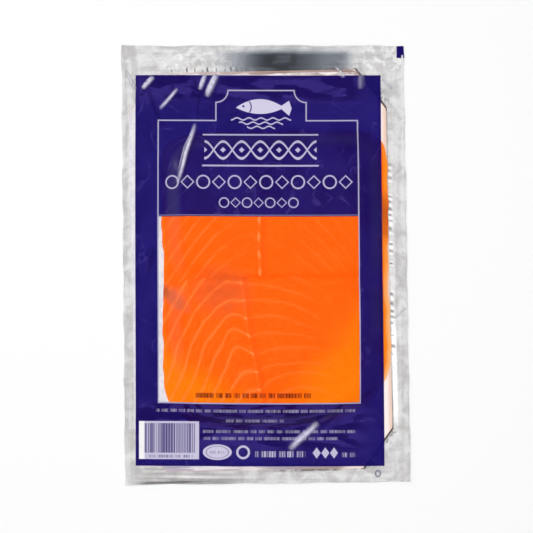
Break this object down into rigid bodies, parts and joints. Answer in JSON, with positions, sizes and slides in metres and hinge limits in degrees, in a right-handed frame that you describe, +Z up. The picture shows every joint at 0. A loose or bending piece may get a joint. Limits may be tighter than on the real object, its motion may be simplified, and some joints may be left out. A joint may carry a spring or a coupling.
{
  "type": "vacuum pack of sliced smoked salmon",
  "caption": "Flat rectangular vacuum pouch with a printed front and a large clear window, holding thin overlapping slices of smoked salmon on a white board with clipped corners.",
  "frame": {"origin": "middle of the pack's underside, on the surface that it lies on", "axes": "+Y along the pack's length towards the top of its printed front, +X to the right of that front, +Z up out of the printed front"},
  "size_m": [0.145, 0.22, 0.0097],
  "materials": {
    "silver_film": "metallised plastic film, satin, finely crinkled along the seals",
    "carton": "white coated carton board",
    "salmon": "moist orange fish with pale bands of fat",
    "printed_film": "clear glossy film, printed dark blue round a clear window"
  },
  "bodies": {
    "root": {"lower_web": "silver_film", "board": "carton", "salmon_slice_1": "salmon", "salmon_slice_2": "salmon", "salmon_slice_3": "salmon", "upper_web": "printed_film"}
  },
  "joints": []
}
